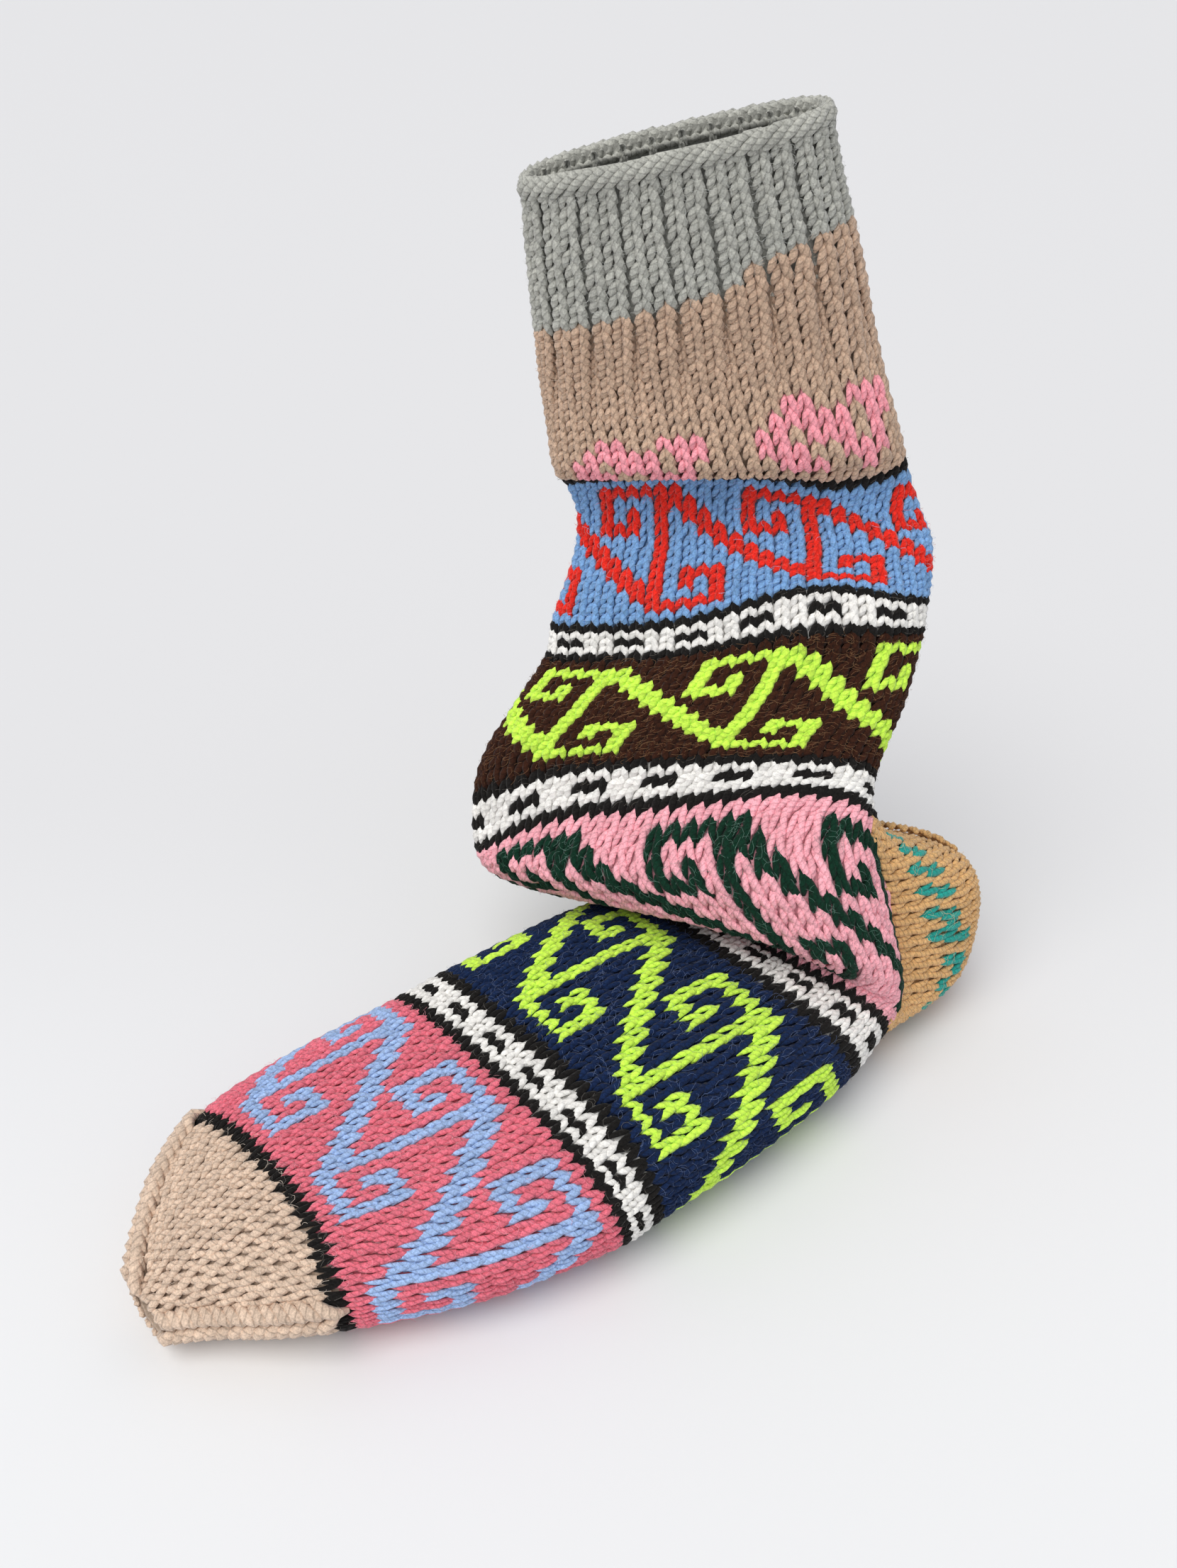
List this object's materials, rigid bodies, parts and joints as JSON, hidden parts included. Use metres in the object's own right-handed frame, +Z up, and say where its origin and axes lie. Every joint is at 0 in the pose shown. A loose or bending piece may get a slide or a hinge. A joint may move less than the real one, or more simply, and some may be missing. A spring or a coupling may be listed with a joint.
{
  "type": "knitted sock",
  "caption": "Thick hand-knitted wool sock with a ribbed cuff, patterned slouched leg, folded instep, cupped heel and wedge toe, standing on its sole",
  "frame": {"origin": "centre of the bounding box's bottom face, on the floor the sole stands on", "axes": "+Z up; -Y towards the toe, +Y towards the heel; +X to the right of someone who looks along +Y"},
  "size_m": [0.1336, 0.2594, 0.2486],
  "materials": {
    "cuff_wool": "matte knitted wool",
    "leg_wool": "matte knitted wool",
    "instep_wool": "matte knitted wool",
    "heel_wool": "matte knitted wool",
    "foot_wool": "matte knitted wool",
    "toe_wool": "matte knitted wool"
  },
  "bodies": {
    "root": {"cuff": "cuff_wool", "leg": "leg_wool", "instep": "instep_wool", "heel": "heel_wool", "foot": "foot_wool", "toe": "toe_wool"}
  },
  "joints": []
}
